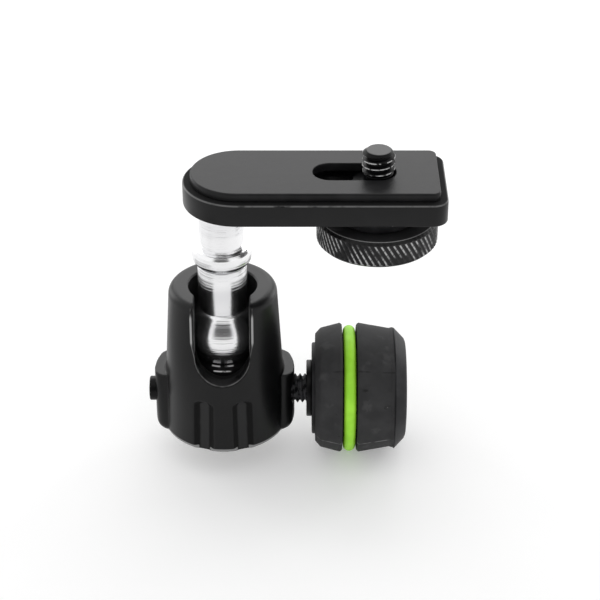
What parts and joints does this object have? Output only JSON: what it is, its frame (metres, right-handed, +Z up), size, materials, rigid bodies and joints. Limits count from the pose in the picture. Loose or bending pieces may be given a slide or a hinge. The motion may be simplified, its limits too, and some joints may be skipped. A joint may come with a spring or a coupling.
{
  "type": "ball joint camera bracket",
  "caption": "Short ball joint with a side clamping knob, a deep socket with a drop slot, and an offset camera plate whose captive screw slides in a slot.",
  "frame": {"origin": "centre of the mouth of the stand thread, in the plane of the foot", "axes": "+Z up along the socket's axis, +X towards the clamping knob, -Y towards the drop slot"},
  "size_m": [0.0589, 0.027, 0.0682],
  "materials": {
    "black_casting": "satin black coating",
    "black_plate": "satin black coating",
    "black_oxide_steel": "black oxide, semi-gloss",
    "knurled_black": "black, knurled rim",
    "polished_chrome": "polished, with fine turned rings",
    "plain_steel": "bright zinc plating",
    "brass": "turned",
    "black_nylon": "matte",
    "grip_rubber": "matte, fine moulded grain",
    "pad_rubber": "matte",
    "adhesive": "matte film",
    "lime_silicone": "matte silicone"
  },
  "bodies": {
    "base": {"housing": "black_casting", "base_insert": "plain_steel", "guide_screw": "black_oxide_steel", "preload_spring": "plain_steel"},
    "cup": {"pressure_cup": "black_nylon"},
    "thrust": {"thrust_pin": "brass"},
    "knob": {"clamp_screw": "black_oxide_steel", "knob_hub": "black_oxide_steel", "knob_core": "black_nylon", "knob_grip": "grip_rubber", "grip_ring": "lime_silicone", "knob_end_cap": "black_nylon"},
    "stud": {"ball_stud": "polished_chrome"},
    "arm": {"plate": "black_plate", "stud_screw": "plain_steel", "pad_adhesive": "adhesive", "plate_pad": "pad_rubber"},
    "slider": {"slide_washer": "black_oxide_steel"},
    "camera_wheel": {"camera_screw": "black_oxide_steel", "screw_clip": "plain_steel", "thumb_wheel": "knurled_black"}
  },
  "joints": [
    {"name": "ball_tilt", "type": "hinge", "parent": "base", "child": "stud", "pos_m": [0, 0, 0.0219], "axis": [1, 0, 0], "range_deg": [-9, 90]},
    {"name": "plate_pan", "type": "hinge", "parent": "stud", "child": "arm", "pos_m": [0, 0, 0.0512], "axis": [0, 0, 1], "continuous": true},
    {"name": "screw_slide", "type": "slide", "parent": "arm", "child": "slider", "axis": [1, 0, 0], "range_m": [-0.0092, 0]},
    {"name": "wheel_turn", "type": "hinge", "parent": "slider", "child": "camera_wheel", "pos_m": [0.03045, 0, 0.0458], "axis": [0, 0, 1], "continuous": true},
    {"name": "thrust_slide", "type": "slide", "parent": "base", "child": "thrust", "axis": [1, 0, 0], "range_m": [0, 0.00075]},
    {"name": "knob_turn", "type": "hinge", "parent": "thrust", "child": "knob", "pos_m": [0.0267, 0, 0.0074], "axis": [1, 0, 0], "range_deg": [0, 270]},
    {"name": "cup_slide", "type": "slide", "parent": "base", "child": "cup", "axis": [0, 0, -1], "range_m": [0, 0.00075], "stiffness_N_per_m": 8, "springref_m": -0.0018, "deforming": ["preload_spring"]}
  ],
  "couplings": [
    {"joint": "knob_turn", "follows": "thrust_slide", "rad_per_m": 6283.2},
    {"joint": "cup_slide", "follows": "thrust_slide", "ratio": 1}
  ]
}
